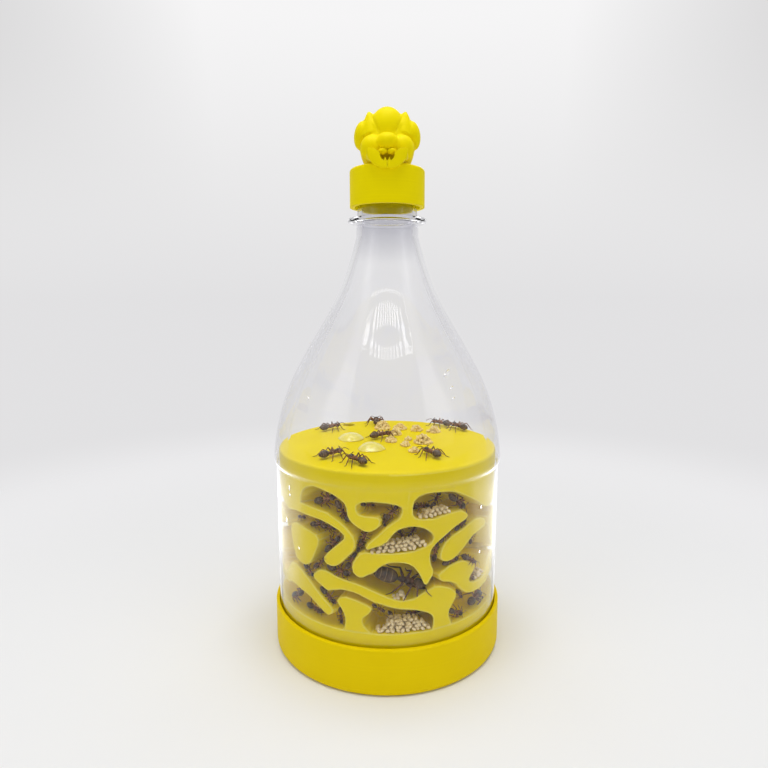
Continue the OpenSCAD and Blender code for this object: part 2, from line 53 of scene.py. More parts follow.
def finishPiece(name, bm, finishes, body, stands=(), smooth=True, level=0, crease=None):
    # turns a bmesh in millimetres into a named piece that rides on a body
    bmesh.ops.scale(bm, vec=(0.001, 0.001, 0.001), verts=bm.verts)
    if crease:
        for edge in bm.edges:
            edge.smooth = edge.calc_face_angle(0) < math.radians(crease)
    mesh = bpy.data.meshes.new(name)
    bm.to_mesh(mesh)
    bm.free()
    for finish in finishes:
        mesh.materials.append(finish)
    for face in mesh.polygons:
        face.use_smooth = smooth
    piece = newObject(name, mesh)
    if level:
        subdivision = piece.modifiers.new("rounding", "SUBSURF")
        subdivision.levels = level
        subdivision.render_levels = level
    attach(piece, body)
    if stands:
        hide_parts(*stands)
    print("piece", name, len(mesh.polygons), "faces")


def between(a, b, c, d, t):
    return 0.5 * (2 * b + (c - a) * t + (2 * a - 5 * b + 4 * c - d) * t * t + (3 * b - a - 3 * c + d) * t ** 3)


def curveThrough(points, steps):
    last = len(points) - 1
    line = []
    for i in range(last):
        four = [points[max(i - 1, 0)], points[i], points[i + 1], points[min(i + 2, last)]]
        for k in range(steps):
            line.append([between(*values, k / steps) for values in zip(*four)])
    return line + [list(points[last])]


def ease(t):
    t = min(max(t, 0), 1)
    return (1 - math.cos(math.pi * t)) / 2


def turned(bm, outline, steps, axis="Z", closed=False):
    # spins an outline of radius and height round an axis
    corners = []
    for radius, along in outline:
        place = (radius, 0, along) if axis == "Z" else (along, 0, radius)
        corners.append(bm.verts.new(place))
    edges = [bm.edges.new(pair) for pair in zip(corners, corners[1:])]
    if closed:
        edges.append(bm.edges.new((corners[-1], corners[0])))
    direction = (0, 0, 1) if axis == "Z" else (1, 0, 0)
    bmesh.ops.spin(bm, geom=corners + edges, cent=(0, 0, 0), axis=direction, angle=math.tau,
                   steps=steps, use_merge=True)
    bmesh.ops.remove_doubles(bm, verts=bm.verts, dist=0.0005)


def lobe(bm, at, size, around=14, up=9, turn=None, finish=0):
    # a ball stretched to three half sizes
    place = Matrix.Translation(Vector(at))
    if turn is not None:
        place = place @ turn
    place = place @ Matrix.Diagonal(Vector((*size, 1)))
    made = bmesh.ops.create_uvsphere(bm, u_segments=around, v_segments=up, radius=1, matrix=place)
    for vert in made["verts"]:
        for face in vert.link_faces:
            face.material_index = finish
    return made["verts"]


def limb(bm, points, radii, sides=6, finish=0):
    # a tapering tube through points, extruded ring by ring
    path = [Vector(p) for p in points]

    def ringPlace(i):
        ahead = path[min(i + 1, len(path) - 1)] - path[max(i - 1, 0)]
        turn = ahead.to_track_quat("Z", "Y").to_matrix().to_4x4()
        return Matrix.Translation(path[i]) @ turn @ Matrix.Scale(radii[i], 4)

    ring = bmesh.ops.create_circle(bm, cap_ends=True, segments=sides, radius=1, matrix=ringPlace(0))["verts"]
    face = next(f for f in ring[0].link_faces if all(v in ring for v in f.verts))
    face.material_index = finish
    for i in range(1, len(path)):
        grown = bmesh.ops.extrude_face_region(bm, geom=[face])["geom"]
        face = next(g for g in grown if isinstance(g, bmesh.types.BMFace))
        verts = [g for g in grown if isinstance(g, bmesh.types.BMVert)]
        bmesh.ops.transform(bm, matrix=ringPlace(i) @ ringPlace(i - 1).inverted(), verts=verts)
        for vert in verts:
            for side in vert.link_faces:
                side.material_index = finish


def meshOf(bm, name):
    mesh = bpy.data.meshes.new(name)
    bmesh.ops.recalc_face_normals(bm, faces=bm.faces)
    bm.to_mesh(mesh)
    bm.free()
    return mesh


def stamp(bm, mesh, place):
    # adds a copy of a mesh, moved to its place, and gives its vertices
    before = len(bm.verts)
    bm.from_mesh(mesh)
    bm.verts.ensure_lookup_table()
    verts = bm.verts[before:]
    bmesh.ops.transform(bm, matrix=place, verts=verts)
    return verts


def fromAxis(point):
    return math.hypot(point.x, point.y)


def bearingOf(point):
    # the turn round the axis, from the front
    return math.atan2(point.x, -point.y)


def pull(vert, share):
    # nearer to the upright axis, or further from it
    vert.co.x *= share
    vert.co.y *= share


def inGallery(s, z, depth, turn, size=1.0, lean=0.0):
    # round the side, up, and in from the side, with X turned up
    return (Matrix.Rotation(s / unrolledRadius, 4, "Z") @ Matrix.Translation((0, depth - nestRadius, z))
            @ Matrix.Rotation(math.radians(-turn), 4, "Y") @ Matrix.Rotation(math.radians(lean), 4, "X")
            @ Matrix.Scale(size, 4))


def newGroup(name, inputs, outputs):
    group = bpy.data.node_groups.new(name, "ShaderNodeTree")
    for label, kind, value in inputs:
        socket = group.interface.new_socket(label, in_out="INPUT", socket_type=kind)
        socket.default_value = value
    for label, kind in outputs:
        group.interface.new_socket(label, in_out="OUTPUT", socket_type=kind)
    return group, group.nodes.new("NodeGroupInput"), group.nodes.new("NodeGroupOutput")


def node(tree, kind, links=None, **settings):
    # adds a node, sets its settings and inputs, and links what is given
    made = tree.nodes.new(kind)
    for key, value in settings.items():
        setattr(made, key, value)
    for key, value in (links or {}).items():
        if isinstance(value, bpy.types.NodeSocket):
            tree.links.new(value, made.inputs[key])
        else:
            made.inputs[key].default_value = value
    return made


def math2(tree, operation, a, b=0.0, clamp=False):
    return node(tree, "ShaderNodeMath", {0: a, 1: b}, operation=operation, use_clamp=clamp).outputs[0]


def times(tree, first, *others):
    for other in others:
        first = math2(tree, "MULTIPLY", first, other)
    return first


def mapped(tree, value, low, high, toLow=0.0, toHigh=1.0, smooth=False):
    # one range of values stretched onto another
    made = node(tree, "ShaderNodeMapRange", {"Value": value, "From Min": low, "From Max": high,
                                             "To Min": toLow, "To Max": toHigh})
    if smooth:
        made.interpolation_type = "SMOOTHSTEP"
    return made.outputs[0]


def ramp(tree, factor, stops):
    made = node(tree, "ShaderNodeValToRGB", {"Fac": factor})
    ends = made.color_ramp.elements
    while len(ends) < len(stops):
        ends.new(0.5)
    for end, (position, colour) in zip(ends, stops):
        end.position = position
        end.color = colour if isinstance(colour, tuple) else (colour, colour, colour, 1)
    return made.outputs["Color"]


def blendColours(tree, factor, a, b):
    return node(tree, "ShaderNodeMix", {"Factor": factor, 6: a, 7: b}, data_type="RGBA").outputs[2]


# The lines that a printer leaves: layers on the sides, strokes side by side on flat tops
def makePrintLines():
    group, given, out = newGroup("printLines",
                                 [("Layer", "NodeSocketFloat", 0.0003), ("Stroke", "NodeSocketFloat", 0.0005)],
                                 [("Height", "NodeSocketFloat"), ("Tone", "NodeSocketFloat")])
    where = node(group, "ShaderNodeTexCoord").outputs["Object"]
    parts = node(group, "ShaderNodeSeparateXYZ", {0: where})
    wander = node(group, "ShaderNodeTexNoise", {"Vector": where, "Scale": 60.0, "Detail": 2.0})
    drift = times(group, wander.outputs["Fac"], 0.00012)
    level = math2(group, "ADD", parts.outputs["Z"], drift)
    layers = math2(group, "DIVIDE", level, given.outputs["Layer"])
    wave = math2(group, "SINE", times(group, layers, math.tau))
    # each layer is a hair lighter or darker than the next
    stack = node(group, "ShaderNodeTexNoise", {"W": times(group, layers, 0.37), "Scale": 1.0,
                                               "Detail": 1.0}, noise_dimensions="1D")
    across = math2(group, "ADD", parts.outputs["X"], parts.outputs["Y"])
    strokes = math2(group, "DIVIDE", math2(group, "ADD", across, drift), given.outputs["Stroke"])
    strokeWave = math2(group, "SINE", times(group, strokes, math.tau))
    facing = node(group, "ShaderNodeSeparateXYZ", {0: node(group, "ShaderNodeNewGeometry").outputs["Normal"]})
    flat = mapped(group, math2(group, "ABSOLUTE", facing.outputs["Z"]), 0.9, 0.985)
    height = node(group, "ShaderNodeMix", {"Factor": flat, 2: wave, 3: strokeWave}, data_type="FLOAT").outputs[0]
    patch = node(group, "ShaderNodeTexNoise", {"Vector": where, "Scale": 38.0, "Detail": 3.0})
    tone = node(group, "ShaderNodeMix", {"Factor": flat, 2: stack.outputs["Fac"], 3: patch.outputs["Fac"]},
                data_type="FLOAT").outputs[0]
    group.links.new(height, out.inputs["Height"])
    group.links.new(tone, out.inputs["Tone"])
    return group


# Fine speckle and slow patches, for roughness, grime and colour
def makeMottle():
    group, given, out = newGroup("mottle", [("Fine", "NodeSocketFloat", 2500.0), ("Broad", "NodeSocketFloat", 90.0)],
                                 [("Speckle", "NodeSocketFloat"), ("Patch", "NodeSocketFloat")])
    where = node(group, "ShaderNodeTexCoord").outputs["Object"]
    fine = node(group, "ShaderNodeTexNoise", {"Vector": where, "Scale": given.outputs["Fine"], "Detail": 3.0,
                                              "Roughness": 0.6})
    broad = node(group, "ShaderNodeTexNoise", {"Vector": where, "Scale": given.outputs["Broad"], "Detail": 4.0})
    group.links.new(fine.outputs["Fac"], out.inputs["Speckle"])
    group.links.new(broad.outputs["Fac"], out.inputs["Patch"])
    return group


# Softened edges with a painted highlight: a lighter colour where a rounded normal leaves the flat one
def makePaintedEdgeHighlight():
    group, given, out = newGroup("paintedEdgeHighlight", [("Width", "NodeSocketFloat", 0.0004)],
                                 [("Mask", "NodeSocketFloat"), ("Normal", "NodeSocketVector")])
    rounded = node(group, "ShaderNodeBevel", {"Radius": given.outputs["Width"]}, samples=4).outputs["Normal"]
    flat = node(group, "ShaderNodeNewGeometry").outputs["Normal"]
    same = node(group, "ShaderNodeVectorMath", {0: rounded, 1: flat}, operation="DOT_PRODUCT").outputs["Value"]
    where = node(group, "ShaderNodeTexCoord").outputs["Object"]
    broken = node(group, "ShaderNodeTexNoise", {"Vector": where, "Scale": 300.0, "Detail": 2.0}).outputs["Fac"]
    mask = mapped(group, same, 0.998, 0.93)
    paintedHighlight = math2(group, "MULTIPLY", mask, math2(group, "ADD", broken, 0.5), clamp=True)
    group.links.new(paintedHighlight, out.inputs["Mask"])
    group.links.new(rounded, out.inputs["Normal"])
    return group


printLines = makePrintLines()
mottle = makeMottle()
paintedEdgeHighlight = makePaintedEdgeHighlight()
print("shared effects made")


def newMaterial(name):
    material = bpy.data.materials.new(name)
    material.use_nodes = True
    tree = material.node_tree
    return material, tree, tree.nodes["Principled BSDF"]


def placed(tree, group, **values):
    made = tree.nodes.new("ShaderNodeGroup")
    made.node_tree = group
    for key, value in values.items():
        made.inputs[key].default_value = value
    return made


def setInputs(shader, fixed):
    for label, value in fixed.items():
        shader.inputs[label].default_value = value


def surface(tree, shader, colour, rough, bump, fixed):
    # what every finish has: colour, roughness, bump and a few fixed values
    tree.links.new(colour, shader.inputs["Base Color"])
    tree.links.new(rough, shader.inputs["Roughness"])
    tree.links.new(node(tree, "ShaderNodeBump", bump).outputs[0], shader.inputs["Normal"])
    setInputs(shader, fixed)


def printedPlastic(name, finish):
    material, tree, shader = newMaterial(name)
    lines = placed(tree, printLines, Layer=finish["layer"], Stroke=finish["stroke"]).outputs
    spots = placed(tree, mottle, Fine=finish["fine"], Broad=finish["broad"]).outputs
    paintedEdge = placed(tree, paintedEdgeHighlight, Width=finish["edge"]).outputs
    tone = math2(tree, "ADD", times(tree, lines["Tone"], finish["lineShare"]),
                 times(tree, spots["Patch"], 1 - finish["lineShare"]))
    body = ramp(tree, tone, [(0.25, finish["dark"]), (0.75, finish["light"])])
    # painted highlight: the edges are blended towards a lighter colour
    colour = blendColours(tree, times(tree, paintedEdge["Mask"], finish["paintedHighlightShare"]), body, finish["paintedHighlight"])
    rough = mapped(tree, spots["Speckle"], 0.3, 0.7, finish["rough"] - 0.06, finish["rough"] + 0.07)
    height = math2(tree, "ADD", lines["Height"], times(tree, spots["Speckle"], finish["pitted"]))
    surface(tree, shader, colour, rough,
            {"Height": height, "Strength": finish["bump"], "Distance": finish["depth"], "Normal": paintedEdge["Normal"]},
            {"IOR": finish["ior"], "Specular IOR Level": finish["gloss"]})
    return material


printBase = {"layer": 0.0003, "stroke": 0.0006, "fine": 1800.0, "broad": 55.0, "lineShare": 0.3, "paintedHighlightShare": 0.7,
             "pitted": 0.8, "depth": 0.00003, "ior": 1.46, "rough": 0.46, "gloss": 0.04}
# each finish's lighter edge colour below is a painted highlight on its rounded edges
nestPrint = printedPlastic("nestPrint", printBase | {
    "dark": (0.84, 0.655, 0.001, 1), "light": (0.90, 0.725, 0.002, 1), "paintedHighlight": (1.0, 0.92, 0.28, 1),
    "rough": 0.5, "bump": 0.25, "edge": 0.001})
basePrint = printedPlastic("basePrint", printBase | {
    "dark": (0.84, 0.625, 0.001, 1), "light": (0.88, 0.665, 0.001, 1), "paintedHighlight": (0.96, 0.80, 0.02, 1),
    "bump": 0.22, "gloss": 0.05, "edge": 0.0004})
capPrint = printedPlastic("capPrint", printBase | {
    "dark": (0.88, 0.73, 0.001, 1), "light": (0.93, 0.775, 0.001, 1), "paintedHighlight": (0.97, 0.84, 0.02, 1),
    "layer": 0.00025, "stroke": 0.0005, "bump": 0.12, "edge": 0.0003})


def clearPlastic(name, finish):
    material, tree, shader = newMaterial(name)
    spots = placed(tree, mottle, Fine=finish["fine"], Broad=finish["broad"]).outputs
    # greyer and bluer where the wall is seen edge on, and where the neck is thick
    edge = node(tree, "ShaderNodeLayerWeight", {"Blend": 0.5}).outputs["Facing"]
    edge = math2(tree, "POWER", edge, finish["falloff"], clamp=True)
    where = node(tree, "ShaderNodeSeparateXYZ", {0: node(tree, "ShaderNodeTexCoord").outputs["Object"]})
    thick = mapped(tree, where.outputs["Z"], finish["thickFrom"], finish["thickTo"], 0.0, finish["thickShare"])
    shade = math2(tree, "MAXIMUM", times(tree, edge, finish["edgeShare"]), thick)
    colour = blendColours(tree, shade, finish["clear"], finish["tint"])
    rough = mapped(tree, spots["Patch"], 0.45, 0.75, 0.0, finish["haze"])
    surface(tree, shader, colour, rough,
            {"Height": spots["Patch"], "Strength": finish["wave"], "Distance": 0.0004},
            {"Transmission Weight": 1.0, "Metallic": 0.0, "IOR": finish["ior"]})
    # the light falls through it, so what is inside isn't in its shade
    rays = node(tree, "ShaderNodeLightPath").outputs
    through = math2(tree, "MAXIMUM", rays["Is Shadow Ray"], rays["Is Diffuse Ray"])
    # and light caught inside it is let out before it turns black
    caught = math2(tree, "GREATER_THAN", rays["Ray Depth"], finish["bounces"])
    through = math2(tree, "MAXIMUM", through, caught)
    passing = node(tree, "ShaderNodeBsdfTransparent", {"Color": finish["passing"]})
    mixed = node(tree, "ShaderNodeMixShader", {0: through, 1: shader.outputs[0], 2: passing.outputs[0]})
    tree.links.new(mixed.outputs[0], tree.nodes["Material Output"].inputs["Surface"])
    return material


clearBase = {"ior": 1.3, "fine": 700.0, "broad": 30.0, "thickFrom": 0.165, "thickTo": 0.18, "haze": 0.0, "wave": 0.0,
             "clear": (0.985, 0.985, 0.99, 1), "passing": (0.97, 0.97, 0.975, 1), "bounces": 5.5}
clearWall = clearPlastic("clearWall", clearBase | {
    "falloff": 3.2, "thickShare": 0.38, "edgeShare": 0.6, "tint": (0.44, 0.44, 0.52, 1), "wave": 0.004})
clearRing = clearPlastic("clearRing", clearBase | {
    "falloff": 2.0, "thickShare": 0.2, "edgeShare": 0.35, "tint": (0.62, 0.62, 0.68, 1)})
waterDrop = clearPlastic("waterDrop", clearBase | {
    "ior": 1.22, "falloff": 3.0, "thickShare": 0.0, "edgeShare": 0.3, "clear": (1, 1, 1, 1),
    "tint": (0.6, 0.62, 0.7, 1), "haze": 0.02, "passing": (0.95, 0.95, 0.95, 1)})


def sugarWater():
    material, tree, shader = newMaterial("sugarWater")
    spots = placed(tree, mottle, Fine=900.0, Broad=160.0).outputs
    colour = ramp(tree, spots["Patch"], [(0.35, (0.98, 0.84, 0.11, 1)), (0.65, (1.0, 0.91, 0.24, 1))])
    surface(tree, shader, colour, mapped(tree, spots["Speckle"], 0.0, 1.0, 0.05, 0.16),
            {"Height": spots["Patch"], "Strength": 0.25, "Distance": 0.0004},
            {"Transmission Weight": 0.15, "IOR": 1.33, "Coat Weight": 0.5, "Coat Roughness": 0.04})
    return material


def antCuticle(name, finish):
    material, tree, shader = newMaterial(name)
    spots = placed(tree, mottle, Fine=4200.0, Broad=420.0).outputs
    colour = ramp(tree, spots["Patch"], [(0.38, finish["dark"]), (0.66, finish["light"])])
    rough = mapped(tree, spots["Speckle"], 0.3, 0.7, finish["rough"] - 0.08, finish["rough"] + 0.1)
    surface(tree, shader, colour, rough,
            {"Height": spots["Speckle"], "Strength": 0.35, "Distance": 0.00004},
            {"Coat Weight": finish["coat"], "Coat Roughness": 0.22, "Specular IOR Level": 0.3})
    return material


darkCuticle = antCuticle("darkCuticle", {
    "dark": (0.022, 0.012, 0.006, 1), "light": (0.105, 0.055, 0.022, 1), "rough": 0.36, "coat": 0.1})
redCuticle = antCuticle("redCuticle", {
    "dark": (0.10, 0.036, 0.01, 1), "light": (0.31, 0.125, 0.038, 1), "rough": 0.42, "coat": 0.06})
queenCuticle = antCuticle("queenCuticle", {
    "dark": (0.04, 0.016, 0.007, 1), "light": (0.15, 0.06, 0.022, 1), "rough": 0.4, "coat": 0.06})
bandCuticle = antCuticle("bandCuticle", {
    "dark": (0.20, 0.12, 0.05, 1), "light": (0.40, 0.26, 0.13, 1), "rough": 0.45, "coat": 0.06})


def softMatter(name, finish):
    material, tree, shader = newMaterial(name)
    spots = placed(tree, mottle, Fine=finish["fine"], Broad=finish["broad"]).outputs
    tone = math2(tree, "ADD", times(tree, spots["Patch"], 0.6), times(tree, spots["Speckle"], 0.4))
    colour = ramp(tree, tone, [(0.34, finish["dark"]), (0.64, finish["light"])])
    rough = mapped(tree, spots["Speckle"], 0.0, 1.0, finish["rough"] - 0.1, finish["rough"] + 0.12)
    surface(tree, shader, colour, rough,
            {"Height": spots["Speckle"], "Strength": finish["bump"], "Distance": 0.00012},
            {"Specular IOR Level": 0.3})
    return material


broodSkin = softMatter("broodSkin", {
    "dark": (0.72, 0.56, 0.29, 1), "light": (0.90, 0.76, 0.46, 1),
    "fine": 3000.0, "broad": 500.0, "rough": 0.42, "bump": 0.15})
crumbCrust = softMatter("crumbCrust", {
    "dark": (0.76, 0.50, 0.15, 1), "light": (1.0, 0.87, 0.44, 1),
    "fine": 2600.0, "broad": 1300.0, "rough": 0.75, "bump": 0.6})
sealFoam = softMatter("sealFoam", {
    "dark": (0.74, 0.74, 0.72, 1), "light": (0.88, 0.88, 0.86, 1),
    "fine": 2400.0, "broad": 200.0, "rough": 0.7, "bump": 0.5})
sugar = sugarWater()
print("materials made")


def dress(name, finish):
    # gives a CAD solid that keeps its shape a better finish
    mesh = nodes[name].data
    mesh.materials.clear()
    mesh.materials.append(finish)


dress("base_cup", basePrint)
dress("nest_insert", nestPrint)
dress("screw_cap", capPrint)
dress("seal_disc", sealFoam)


bottle = {"radius": 48.3, "wall": 0.5, "wallStops": (30, 55), "bulge": 1.0, "bulgeFrom": 80.6, "bulgeTo": 83.2,
          "bulgeSteps": 8, "shoulderFrom": 85.0, "shoulderHeight": 91.0, "neckRadius": 13.0, "boreRadius": 10.85,
          "finishRadius": 12.45, "fillet": 0.3, "lipEdge": [(0.0, 0.7), (-0.2, 0.2), (-0.6, 0.0)],
          "ringFrom": 181.5, "ringRadius": 16.5, "ringHeight": 1.8,
          "ringEdge": [(-0.6, 0.0), (-0.15, 0.15), (0.0, 0.5)], "ringSkin": 0.2, "around": 320,
          "panels": 10, "panelDepth": 0.42, "ridge": 4.0, "panelFrom": 86, "fadeIn": 14, "panelTo": 168,
          "fadeOut": 45, "threadTurns": 1.5, "pitch": 2.7, "threadDepth": 0.9, "threadDrop": 1.6, "threadSteps": 54,
          "tooth": [(-0.3, -0.57), (0.9, -0.3), (0.9, 0.3), (-0.3, 0.57)]}
shoulderCurve = [[1, 0], [0.947, 0.155], [0.815, 0.315], [0.61, 0.47], [0.385, 0.62], [0.195, 0.76], [0.085, 0.88],
                 [0, 1]]


def wallLine():
    # radius, height and thickness of the wall, from the cut edge to the neck
    radius, wall, neck = bottle["radius"], bottle["wall"], bottle["neckRadius"]
    full = radius + bottle["bulge"]
    line = [[radius, height, wall] for height in (baseFloor, *bottle["wallStops"])]
    rise, steps = bottle["bulgeTo"] - bottle["bulgeFrom"], bottle["bulgeSteps"]
    for k in range(steps + 1):
        line.append([radius + bottle["bulge"] * ease(k / steps), bottle["bulgeFrom"] + rise * k / steps, wall])
    line.append([full, bottle["shoulderFrom"], wall])
    for out, up in curveThrough(shoulderCurve, 8):
        if up > 0:
            grow = (neck - bottle["boreRadius"] - wall) * ease(up * up)
            height = bottle["shoulderFrom"] + bottle["shoulderHeight"] * up
            line.append([neck + (full - neck) * out, height, wall + grow])
    return line


wallPoints = wallLine()


def bottleRadius(height):
    for low, high in zip(wallPoints, wallPoints[1:]):
        if low[1] <= height <= high[1]:
            return low[0] + (high[0] - low[0]) * (height - low[1]) / max(high[1] - low[1], 1e-6)
    return bottle["neckRadius"]


def panelDip(turn, height):
    # how far the shoulder's flattened panels lie inside the round outline
    share = (turn / math.tau * bottle["panels"] + 0.5) % 1 - 0.5
    fade = ease((height - bottle["panelFrom"]) / bottle["fadeIn"])
    fade *= ease((bottle["panelTo"] - height) / bottle["fadeOut"])
    return bottle["panelDepth"] * (1 - abs(2 * share) ** bottle["ridge"]) * fade


def makeThread():
    # one tooth, spun and lifted at the same time
    bm = bmesh.new()
    finish, turns, pitch = bottle["finishRadius"], bottle["threadTurns"], bottle["pitch"]
    start = neckTop - bottle["threadDrop"] - turns * pitch
    corners = [bm.verts.new((0, -(finish + out), start + up)) for out, up in bottle["tooth"]]
    loop = [bm.edges.new((corners[i], corners[(i + 1) % 4])) for i in range(4)]
    bmesh.ops.spin(bm, geom=corners + loop, cent=(0, 0, 0), axis=(0, 0, 1), angle=math.tau * turns,
                   steps=bottle["threadSteps"], dvec=(0, 0, turns * pitch / bottle["threadSteps"]))
    bmesh.ops.holes_fill(bm, edges=[e for e in bm.edges if e.is_boundary])
    # both ends run out into the neck
    for vert in bm.verts:
        away = fromAxis(vert.co)
        done = (vert.co.z - start) / pitch
        fade = min(1, max(done, 0) * 6 + 0.1, max(turns - done, 0) * 6 + 0.1)
        if away > finish:
            pull(vert, (finish + bottle["threadDepth"] * fade) / away)
    return meshOf(bm, "threadShape")


def makeBottle():
    bm = bmesh.new()
    ring, low, top = bottle["ringRadius"], bottle["ringFrom"], bottle["ringFrom"] + bottle["ringHeight"]
    finish, bore, fillet = bottle["finishRadius"], bottle["boreRadius"], bottle["fillet"]
    outline = [[p[0], p[1]] for p in wallPoints] + [[bottle["neckRadius"], low]]
    outline += [[ring + out, low + up] for out, up in bottle["ringEdge"]]
    outline += [[ring + out, top - up] for out, up in reversed(bottle["ringEdge"])]
    outline += [[finish + fillet, top], [finish, top + fillet]]
    outline += [[finish + out, neckTop - down] for out, down in bottle["lipEdge"]]
    outline += [[bore + fillet, neckTop], [bore, neckTop - fillet]]
    outline += [[p[0] - p[2], p[1]] for p in reversed(wallPoints)]
    turned(bm, outline, bottle["around"], closed=True)
    for face in bm.faces:
        middle = face.calc_center_median()
        if low <= middle.z <= top and fromAxis(middle) > bottle["neckRadius"] + bottle["ringSkin"]:
            face.material_index = 1
    bmesh.ops.recalc_face_normals(bm, faces=bm.faces)
    for vert in bm.verts:
        if bottle["panelFrom"] < vert.co.z < bottle["panelTo"]:
            away = fromAxis(vert.co)
            pull(vert, (away - panelDip(bearingOf(vert.co), vert.co.z)) / away)
    thread = makeThread()
    stamp(bm, thread, Matrix.Identity(4))
    bpy.data.meshes.remove(thread)
    finishPiece("clearBottle", bm, [clearWall, clearRing], "bottle", stands=("bottle",), crease=32)


makeBottle()


view = {"from": (0.0, -255.0, 150.8), "tilt": 81.68, "lens": 27.66, "shift": -0.0042, "sensor": 36.0,
        "pixels": 768, "middle": (387.2, 384), "step": 0.25, "behind": 60}


def makeCamera():
    data = bpy.data.cameras.new("studioCamera")
    data.lens = view["lens"]
    data.sensor_width = view["sensor"]
    data.shift_x = view["shift"]
    data.clip_start = 0.01
    camera = newObject("studioCamera", data)
    camera.location = Vector(view["from"]) * 0.001
    camera.rotation_euler = (math.radians(view["tilt"]), 0, 0)
    bpy.context.scene.camera = camera


makeCamera()


def wherePictured(across, down):
    # where a picture point falls on the bottle: turn from the front, and height
    focal = view["lens"] / view["sensor"] * view["pixels"]
    tilt = math.radians(view["tilt"])
    ray = Vector(((across - view["middle"][0]) / focal, 1.0, (view["middle"][1] - down) / focal))
    ray = Matrix.Rotation(tilt - math.pi / 2, 3, "X") @ ray
    ray.normalize()
    spot = Vector(view["from"])
    while fromAxis(spot) > bottleRadius(spot.z) and spot.y < view["behind"]:
        spot += ray * view["step"]
    return bearingOf(spot), spot.z


drops = {"places": [[447.4, 373.6, 2.4, 3.9], [452, 388, 1.6, 1.7], [454, 398.5, 1.2, 1.2], [307.5, 398, 0.9, 1.6],
                    [310.6, 345, 1.3, 2.4], [481, 507, 1.4, 1.6], [289.5, 488, 1.3, 2.2], [290, 495, 1.0, 1.2],
                    [287, 520, 1.1, 2.6], [299, 548, 1.0, 1.4], [479.5, 551.5, 1.2, 1.3], [331, 309, 0.9, 1.9]],
         "stand": 0.42, "slope": 2, "sag": 0.28, "sunk": 0.05}


def makeDrops():
    bm = bmesh.new()
    slope = drops["slope"]
    for across, down, wide, tall in drops["places"]:
        turn, height = wherePictured(across, down)
        lean = math.atan2(bottleRadius(height + slope) - bottleRadius(height - slope), 2 * slope)
        out = bottleRadius(height) - panelDip(turn, height)
        place = (Matrix.Rotation(turn, 4, "Z") @ Matrix.Translation((0, -out, height))
                 @ Matrix.Rotation(-lean, 4, "X"))
        verts = lobe(bm, (0, 0, 0), (wide / 2, drops["stand"] * wide / 2 + 0.1, tall / 2), 12, 10)
        for vert in verts:
            vert.co.x *= 1 - drops["sag"] * vert.co.z / (tall / 2)  # heavier below
            vert.co.y = min(vert.co.y, drops["sunk"])
        bmesh.ops.transform(bm, matrix=place, verts=verts)
    finishPiece("condensation", bm, [waterDrop], "bottle")


makeDrops()


head = {"voxel": 0.3, "smooth": 12, "neckReach": 15.6, "ball": (32, 20), "skull": [(0, 1.1, 8.9), (11.3, 11.2, 12.4)],
        "forehead": [(0, -1.3, 14.9), (7.5, 8.6, 9.45)], "facePlate": [(0, -10.4, 8.5), (4.5, 4.5, 3.7)],
        "eye": [(10.5, -1.3, 13.3), (3.1, 4.8, 5.7)], "eyeTurn": -9, "temple": [(6.6, -0.6, 13.6), (4.6, 6.2, 6.0)],
        "cheek": [(6.0, -7.5, 6.5), (5.0, 5.6, 5.5)], "lip": [(1.85, -12.9, 4.45), (1.95, 1.6, 1.25)],
        "hornFoot": (5.6, -2.6, 13.0), "hornTip": (7.5, -2.2, 22.6), "hornLean": 0.3,
        "hornRadii": [5.6, 3.7, 1.8, 0.4],
        "mouth": {"wide": 3.4, "up": 2.0, "tall": 2.6, "deep": 0.7, "front": -5},
        "crease": {"from": 12, "middle": 13.0, "inner": 3.4, "lean": 0.42, "wide": 0.7, "deep": 0.45},
        "jawRoot": [(6.2, -15.2, 2.4), (6.0, -8.5, 3.6)], "jawRootRadii": [1.6, 2.8],
        "jawFront": -17.6, "jawThick": 2.2, "jawBend": 0.033, "jawRound": 0.12, "jawCorner": (1.0, 2.2),
        "jaw": [(8.1, 4.2), (7.9, 5.0), (6.9, 5.2), (5.3, 4.9), (4.0, 4.1), (2.95, 3.1), (2.8, 2.2), (2.6, 1.5),
                (2.25, 0.8), (1.8, 0.35), (1.4, 0.15), (1.1, 0.6), (0.8, 1.35), (0.55, 0.75), (0.2, 0.15), (0.0, 0.05),
                (0.0, -2.3), (1.2, -2.6), (2.5, -2.5), (4.5, -1.6), (6.0, -0.3), (7.1, 1.0), (7.8, 2.6)]}


def headPoint(point, side=1):
    return Vector((side * point[0], point[1], capTop + point[2]))


def makeJaw(side):
    # a curved plate with teeth, bent back round the cheek
    bm = bmesh.new()
    corners = [bm.verts.new((side * x, head["jawFront"], capTop + z)) for x, z in head["jaw"]]
    plate = bm.faces.new(corners)
    bmesh.ops.triangulate(bm, faces=[plate])
    inner = [e for e in bm.edges if not e.is_boundary]
    bmesh.ops.subdivide_edges(bm, edges=inner, cuts=2, use_grid_fill=False)
    grown = bmesh.ops.extrude_face_region(bm, geom=list(bm.faces))["geom"]
    behind = [g for g in grown if isinstance(g, bmesh.types.BMVert)]
    bmesh.ops.translate(bm, vec=(0, head["jawThick"], 0), verts=behind)
    bmesh.ops.recalc_face_normals(bm, faces=bm.faces)
    flat, sharp = head["jawCorner"]
    rim = [e for e in bm.edges if len(e.link_faces) == 2 and flat < e.calc_face_angle(0) < sharp
           and all(v.co.y < head["jawFront"] + 0.01 for v in e.verts)]
    bmesh.ops.bevel(bm, geom=rim, offset=head["jawRound"], offset_type="OFFSET", segments=2, profile=0.5,
                    affect="EDGES", material=-1)
    for vert in bm.verts:
        vert.co.y += head["jawBend"] * vert.co.x ** 2
    return meshOf(bm, "jawShape")


